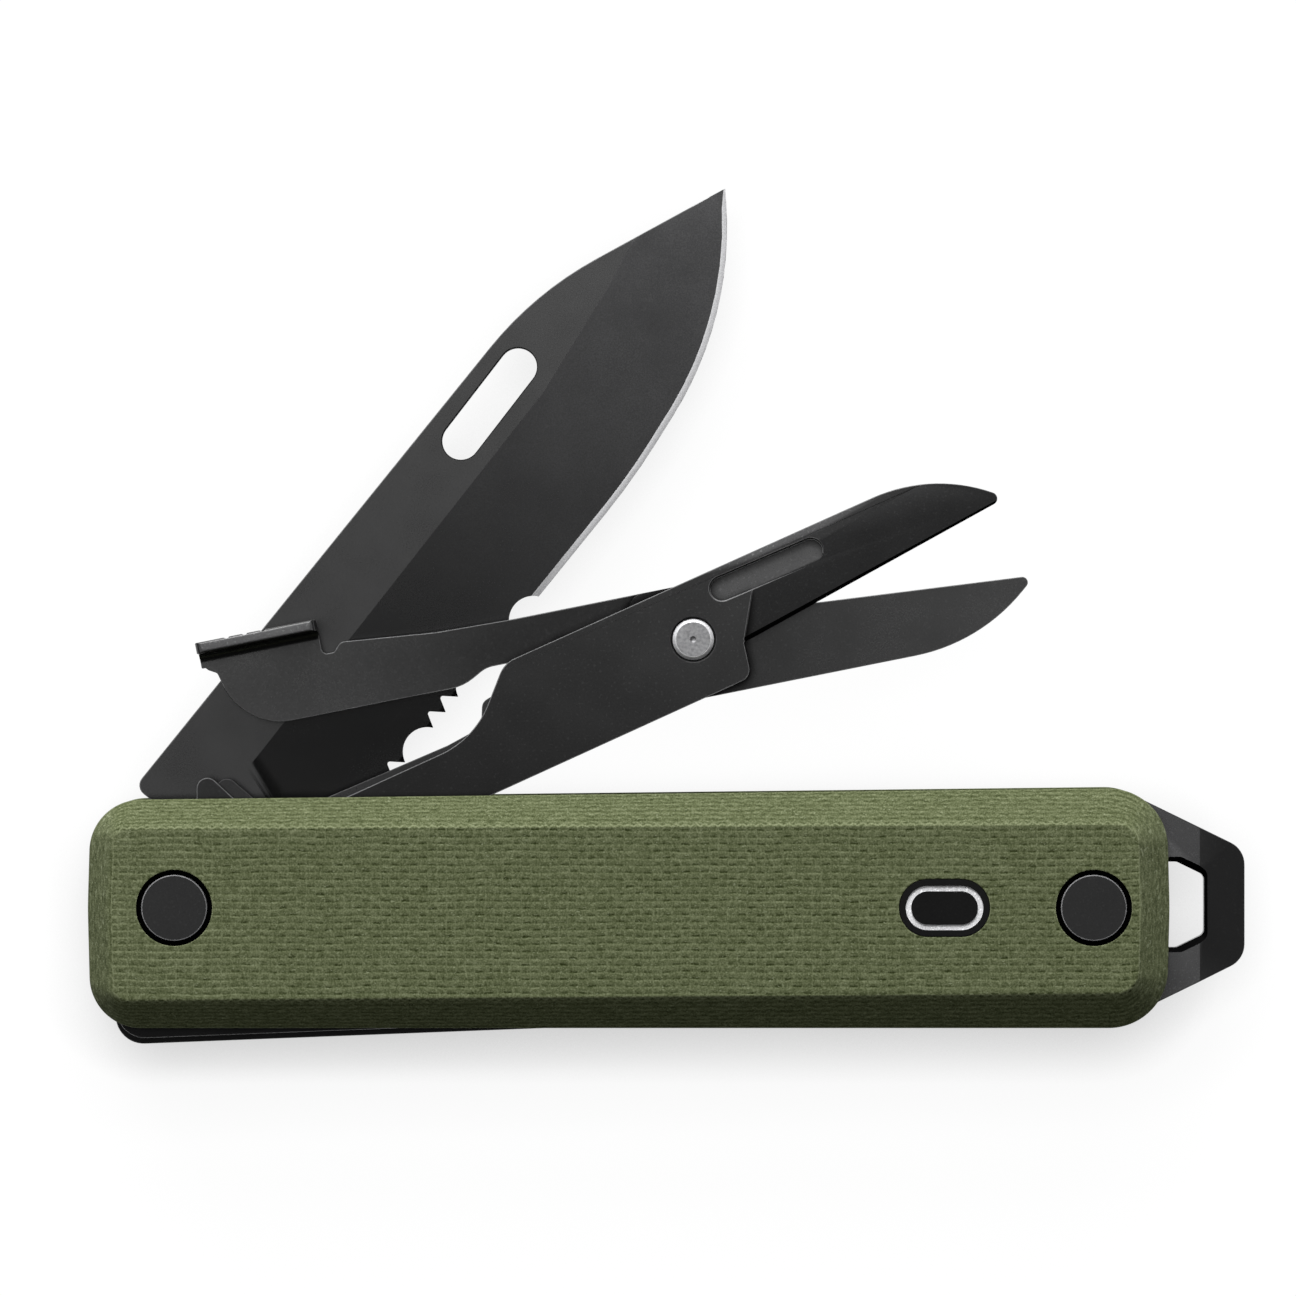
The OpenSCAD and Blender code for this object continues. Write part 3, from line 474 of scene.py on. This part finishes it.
def finished_copy(node, body, edge_mm, face, rim, crease=False, spare=None, shape=None):
    """Copy of a CAD node with its sharp edges broken by a small round, in a face and a rim material.

    shape changes the copy first. spare picks edges that stay plain.
    """
    mesh = frame["nodes"][node].data.copy()
    mesh.materials.clear()
    for key in (face, rim):
        mesh.materials.append(materials[key])
    work = bmesh.new()
    work.from_mesh(mesh)
    bmesh.ops.remove_doubles(work, verts=work.verts, dist=WELD)
    bmesh.ops.dissolve_limit(work, angle_limit=FLAT_ANGLE, verts=work.verts, edges=work.edges)
    if shape:
        shape(work)
        work.normal_update()
    for polygon in work.faces:
        polygon.material_index = 0
    sharp = [edge for edge in work.edges
             if edge.is_manifold and edge.calc_face_angle() > EDGE_ANGLE
             and roomy(edge, edge_mm * MM) and not (spare and spare(edge))]
    bmesh.ops.bevel(work, geom=sharp, offset=edge_mm * MM, offset_type="OFFSET", segments=2, profile=0.5,
                    affect="EDGES", clamp_overlap=False, loop_slide=True, material=1)
    work.normal_update()
    for polygon in work.faces:
        polygon.smooth = True
    for edge in work.edges:
        if edge.is_manifold:
            edge.smooth = edge.calc_face_angle() < SMOOTH_ANGLE and not (crease and creased(edge))
    work.to_mesh(mesh)
    work.free()
    if "custom_normal" in mesh.attributes:
        mesh.attributes.remove(mesh.attributes["custom_normal"])
    piece = bpy.data.objects.new(node + "_finished", mesh)
    bpy.context.scene.collection.objects.link(piece)
    even = piece.modifiers.new("even_normals", "WEIGHTED_NORMAL")
    even.keep_sharp = True
    if body:
        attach(piece, body)
    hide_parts(node)
    return piece


def repaint(piece, key, choose):
    """Gives another material to the faces that choose picks."""
    piece.data.materials.append(materials[key])
    index = len(piece.data.materials) - 1
    for polygon in piece.data.polygons:
        if choose(polygon):
            polygon.material_index = index


def tilted(low, high):
    """Picks faces whose angle to the level lies between low and high degrees."""
    most, least = math.cos(math.radians(low)), math.cos(math.radians(high))
    return lambda polygon: polygon.material_index == 0 and least < abs(polygon.normal.z) < most


def along_blade(point):
    """Place of a point along and across the blade from its pivot, in millimetres."""
    out = point - PIVOT
    c, s = math.cos(BLADE_ANGLE), math.sin(BLADE_ANGLE)
    return (out.x * c + out.y * s) / MM, (out.y * c - out.x * s) / MM


def thin_steel(edge):
    """True on the sharpened bevel and in the grind, where no edge is rounded."""
    inside = min(abs(polygon.normal.z) for polygon in edge.link_faces) > WALL
    return inside or all(abs(v.co.z - BLADE_MID_Z) < THIN_HALF_MM * MM for v in edge.verts)


def sharpened(polygon):
    """Picks the sharpened bevel beyond the serrations."""
    x, _ = along_blade(polygon.center)
    thin = abs(polygon.center.z - BLADE_MID_Z) < SHARP_HALF_MM * MM
    return x > PLAIN_EDGE_MM and thin and SHARP_UP[0] < abs(polygon.normal.z) < SHARP_UP[1]


def beside_chamfer(edge):
    """True beside a face cut at a slant, such as the chamfer of the eye, which keeps its plain edges."""
    return any(CHAMFER_UP[0] < abs(polygon.normal.z) < CHAMFER_UP[1] for polygon in edge.link_faces)


def cutting_facet(work):
    """Cuts the steep facet along the arm's cutting edge, widest at the heel."""
    slanted = [polygon for polygon in work.faces if CUTTER_UP[0] < polygon.normal.z < CUTTER_UP[1]]
    ground = max(slanted, key=lambda polygon: polygon.calc_area())
    low = min(v.co.z for v in ground.verts)
    foot = sorted((v for v in ground.verts if v.co.z < low + FOOT_MM * MM), key=lambda v: v.co.x)
    heel, tip = foot[0].co.copy(), foot[-1].co.copy()
    across = Vector((heel.y - tip.y, tip.x - heel.x, 0)).normalized()
    if across.dot(ground.calc_center_median() - heel) < 0:
        across.negate()
    start = heel + FACET_MM[0] * MM * across
    end = tip + FACET_MM[1] * MM * across
    side = Vector((start.y - end.y, end.x - start.x, 0)).normalized()
    bmesh.ops.bisect_plane(work, geom=[ground, *ground.edges, *ground.verts], dist=WELD / 10,
                           plane_co=start, plane_no=side)
    for v in foot:
        v.co.z -= FACET_DROP_MM * MM


def near_rivet(polygon, reach):
    """True within reach of the rivet's axis."""
    return (polygon.center - RIVET).xy.length < reach


def in_slot(polygon):
    """Picks the walls and edges of the blade's thumb slot."""
    x, y = along_blade(polygon.center)
    inside = SLOT_SPAN_MM[0] < x < SLOT_SPAN_MM[1] and abs(y - SLOT_MID_MM) < SLOT_REACH_MM
    return inside and abs(polygon.normal.z) < NEARLY_LEVEL


def in_recess(polygon):
    """Picks the walls and floors of the two head recesses of a scale."""
    deep = min(Z_FRONT - polygon.center.z, polygon.center.z)
    near = min((polygon.center - pin).xy.length for pin in (PIVOT, BUTT))
    return deep > RECESS_DEEP_MM * MM and near < RECESS_R


def worn_near_rivet(reach):
    """Picks the rounded edges within reach of the rivet's axis."""
    return lambda polygon: polygon.material_index == 1 and near_rivet(polygon, reach)


def flange_edge(polygon):
    """Picks the upper edge of the lever's thumb flange."""
    return polygon.center.z > FLANGE_LOW and polygon.normal.z > UPWARD


def inlay_ring(polygon):
    """Picks the floor of the ring that is sunk in the inlay."""
    deep = Z_FRONT - polygon.center.z
    return polygon.normal.z > UPWARD and RING_DEEP_MM[0] * MM < deep < RING_DEEP_MM[1] * MM


# Widths of the rounds on the edges
COAT_EDGE_MM = 0.07
LINER_EDGE_MM = 0.08
HEAD_EDGE_MM = 0.09
SCALE_EDGE_MM = 0.12
SMALL_EDGE_MM = 0.03
# How far from the rivet the lever's and the arm's edges aren't worn bright
LEVER_PLAIN = 7 * MM
ARM_PLAIN = 2.2 * MM
# Depths between which the floor of the inlay's ring lies
RING_DEEP_MM = (0.05, 0.3)
# Height just under the lever's top, above which the thumb flange's upper edge lies
FLANGE_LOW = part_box("scissor_lever")[1].z - 0.1 * MM
blade = finished_copy("blade", "knife", COAT_EDGE_MM, "blade_coat", "worn_edge", True, thin_steel)
repaint(blade, "ground_steel", sharpened)
repaint(blade, "blade_ground", tilted(1.5, 60))
# The thumb slot's walls and edges are painted black as shade
repaint(blade, "painted_shade_black", in_slot)
for node, body, slot, coat in (("scissor_arm", "scissors", "scissors", "arm_coat"),
                               ("scissor_lever", "lever", "scissors", "lever_coat"),
                               ("blade_backspring", "frame", "spring", "spring_coat"),
                               ("scissor_backspring", "frame", "spring", "spring_coat"),
                               ("scissor_spring", None, "spring", "leaf_coat")):
    rim = "worn_edge" if slot == "scissors" else "spring_rim"
    piece = finished_copy(node, body, COAT_EDGE_MM, coat, rim, spare=beside_chamfer,
                          shape=cutting_facet if node == "scissor_arm" else None)
    if node == "scissor_spring":
        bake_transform(piece)
    if node == "scissor_lever":
        repaint(piece, "flange_end", flange_edge)
        repaint(piece, "lever_coat", worn_near_rivet(LEVER_PLAIN))
    if node == "scissor_arm":
        repaint(piece, "cutter_ground", tilted(9, 40))
        repaint(piece, "nick_floor", tilted(4, 9))
        # Steep faces, chiefly the facet on the cutting edge, are painted black as shade
        repaint(piece, "painted_shade_black", tilted(40, 75))
        repaint(piece, "spring_rim", worn_near_rivet(ARM_PLAIN))
    if node == "blade_backspring":
        repaint(piece, "spring_ground", tilted(4, 20))
        # Faces sloped 30 to 65 degrees, such as the eye's chamfer, are painted black as shade
        repaint(piece, "painted_shade_black", tilted(30, 65))
for node in ("front_liner", "middle_liner", "rear_liner"):
    finished_copy(node, "frame", LINER_EDGE_MM, "liner_coat", "worn_edge")
for node in ("pivot_barrel", "butt_barrel", "pivot_screw", "butt_screw"):
    finished_copy(node, "frame", HEAD_EDGE_MM, "head_coat", "head_rim")
for side in ("front", "rear"):
    cloth = side + "_laminate"
    piece = finished_copy(side + "_scale", "frame", SCALE_EDGE_MM, cloth, cloth)
    # The walls and floors of the head recesses are painted black as shade
    repaint(piece, "painted_shade_black", in_recess)
rivet = finished_copy("scissor_rivet", "scissors", SMALL_EDGE_MM, "rivet_steel", "rivet_rim")
repaint(rivet, "rivet_rim", tilted(35, 60))
inlay = finished_copy("shield_inlay", "frame", SMALL_EDGE_MM, "inlay_black", "inlay_black")
repaint(inlay, "line_white", inlay_ring)

# Pieces inside the handle keep their CAD form
for node, key in (("spring_pin", "pin_steel"), ("blade_washers", "washer_brass"),
                  ("scissor_washers", "washer_brass")):
    frame["nodes"][node].data.materials.clear()
    frame["nodes"][node].data.materials.append(materials[key])


# Floor, world, lights and camera
# How much of the floor glows, how brightly, and how much light it throws back on the tool
FLOOR_GLOW = 0.95
FLOOR_LEVEL = 1.03
FLOOR_BOUNCE = 0.58
# Reach and depth of the close and of the wide part of the painted shadow, which ambient occlusion puts in the
# floor's glow
PAINTED_SHADOWS = ((5.5 * MM, 0.45), (10 * MM, 0.10))
PAINTED_SHADOW_FROM = (-0.15, 0.72, 0.68)
# Level of the world for the light it gives, and as the camera sees it
WORLD_LIGHT = 0.03
WORLD_SEEN = 1.0
# Point of the tool that the lights look at
LIT_POINT = Vector((0, 0.02, 0))


def floor_material():
    """White floor for the camera and for reflections. Its glow carries a painted shadow, and its lit share
    keeps the object's real shadow.
    """
    g = Graph("floor_white")
    nodes, links = g.tree.nodes, g.tree.links
    path = nodes.new("ShaderNodeLightPath")
    grain = g.noise(g.place(), 0.02, 2.0)
    white = g.ramp(grain, [(0.3, (0.93, 0.93, 0.93)), (0.7, (0.95, 0.95, 0.95))])
    dim = (FLOOR_BOUNCE, FLOOR_BOUNCE, FLOOR_BOUNCE)
    g.finish(g.mix(path.outputs["Is Diffuse Ray"], white, dim), 0.9, specular=0.0)
    glow = nodes.new("ShaderNodeEmission")
    seen = g.math("MAXIMUM", path.outputs["Is Camera Ray"],
                  g.math("MAXIMUM", path.outputs["Is Glossy Ray"], path.outputs["Is Transmission Ray"]))
    # Painted shadow: the glow dims where something close by stands on the key's side
    toward = g.add("ShaderNodeCombineXYZ")
    for socket, share in zip(toward.inputs, PAINTED_SHADOW_FROM):
        socket.default_value = share
    level = FLOOR_LEVEL
    for reach, depth in PAINTED_SHADOWS:
        open_sky = g.add("ShaderNodeAmbientOcclusion", samples=4)
        open_sky.inputs["Distance"].default_value = reach
        g.put(open_sky.inputs["Normal"], toward.outputs[0])
        level = g.math("MULTIPLY", level, g.blend(depth, 1.0, open_sky.outputs["AO"]))
    g.put(glow.inputs["Strength"], level)
    both = nodes.new("ShaderNodeMixShader")
    g.put(both.inputs[0], g.math("MULTIPLY", seen, FLOOR_GLOW))
    links.new(g.shader.outputs[0], both.inputs[1])
    links.new(glow.outputs[0], both.inputs[2])
    links.new(both.outputs[0], nodes["Material Output"].inputs["Surface"])
    return g.material


FLOOR_HALF = 1.5
FLOOR_DROP = 0.02 * MM
floor_mesh = bpy.data.meshes.new("floor")
floor_mesh.from_pydata([(sx * FLOOR_HALF, sy * FLOOR_HALF, -FLOOR_DROP)
                        for sx, sy in ((-1, -1), (1, -1), (1, 1), (-1, 1))], [], [(0, 1, 2, 3)])
floor_mesh.materials.append(floor_material())
floor = bpy.data.objects.new("floor", floor_mesh)
bpy.context.scene.collection.objects.link(floor)

world = bpy.data.worlds.new("studio")
bpy.context.scene.world = world
world.use_nodes = True
sky = world.node_tree.nodes["Background"]
sky.inputs["Color"].default_value = (1.0, 1.0, 1.0, 1.0)
lit = world.node_tree.nodes.new("ShaderNodeLightPath")
level = world.node_tree.nodes.new("ShaderNodeMix")
level.data_type = "FLOAT"
level.inputs[2].default_value = WORLD_LIGHT
level.inputs[3].default_value = WORLD_SEEN
world.node_tree.links.new(lit.outputs["Is Camera Ray"], level.inputs["Factor"])
world.node_tree.links.new(level.outputs[0], sky.inputs["Strength"])


def soft_light(name, azimuth, elevation, distance, size, radiance, level=False):
    """Flat soft box, size wide and tall, that looks at the middle of the tool, or straight down if level."""
    lamp = bpy.data.lights.new(name, "AREA")
    lamp.shape = "RECTANGLE"
    lamp.size, lamp.size_y = size
    lamp.energy = math.pi * size[0] * size[1] * radiance
    light = bpy.data.objects.new(name, lamp)
    bpy.context.scene.collection.objects.link(light)
    a, e = math.radians(azimuth), math.radians(elevation)
    out = Vector((math.cos(e) * math.cos(a), math.cos(e) * math.sin(a), math.sin(e)))
    light.location = LIT_POINT + distance * out
    if not level:
        light.rotation_euler = out.to_track_quat("Z", "Y").to_euler()


soft_light("key", 95, 28, 0.9, (0.8, 0.5), 12.2)
soft_light("top", 136, 75, 1.2, (0.63, 0.65), 1.9, level=True)
soft_light("fill", -39, 38, 0.9, (0.3, 0.2), 0.9)

# The camera looks straight down. The photo's middle lies over this point of the tool.
VIEW_MIDDLE_MM = (1.134, 21.055)
VIEW_WIDTH_MM = 104.95
CAMERA_HEIGHT = 0.875
SENSOR_MM = 36.0
lens = bpy.data.cameras.new("camera")
lens.sensor_width = SENSOR_MM
lens.lens = SENSOR_MM * CAMERA_HEIGHT / (VIEW_WIDTH_MM * MM)
camera = bpy.data.objects.new("camera", lens)
camera.location = (VIEW_MIDDLE_MM[0] * MM, VIEW_MIDDLE_MM[1] * MM, Z_FRONT + CAMERA_HEIGHT)
bpy.context.scene.collection.objects.link(camera)
bpy.context.scene.camera = camera
bpy.context.scene.view_settings.view_transform = "Standard"
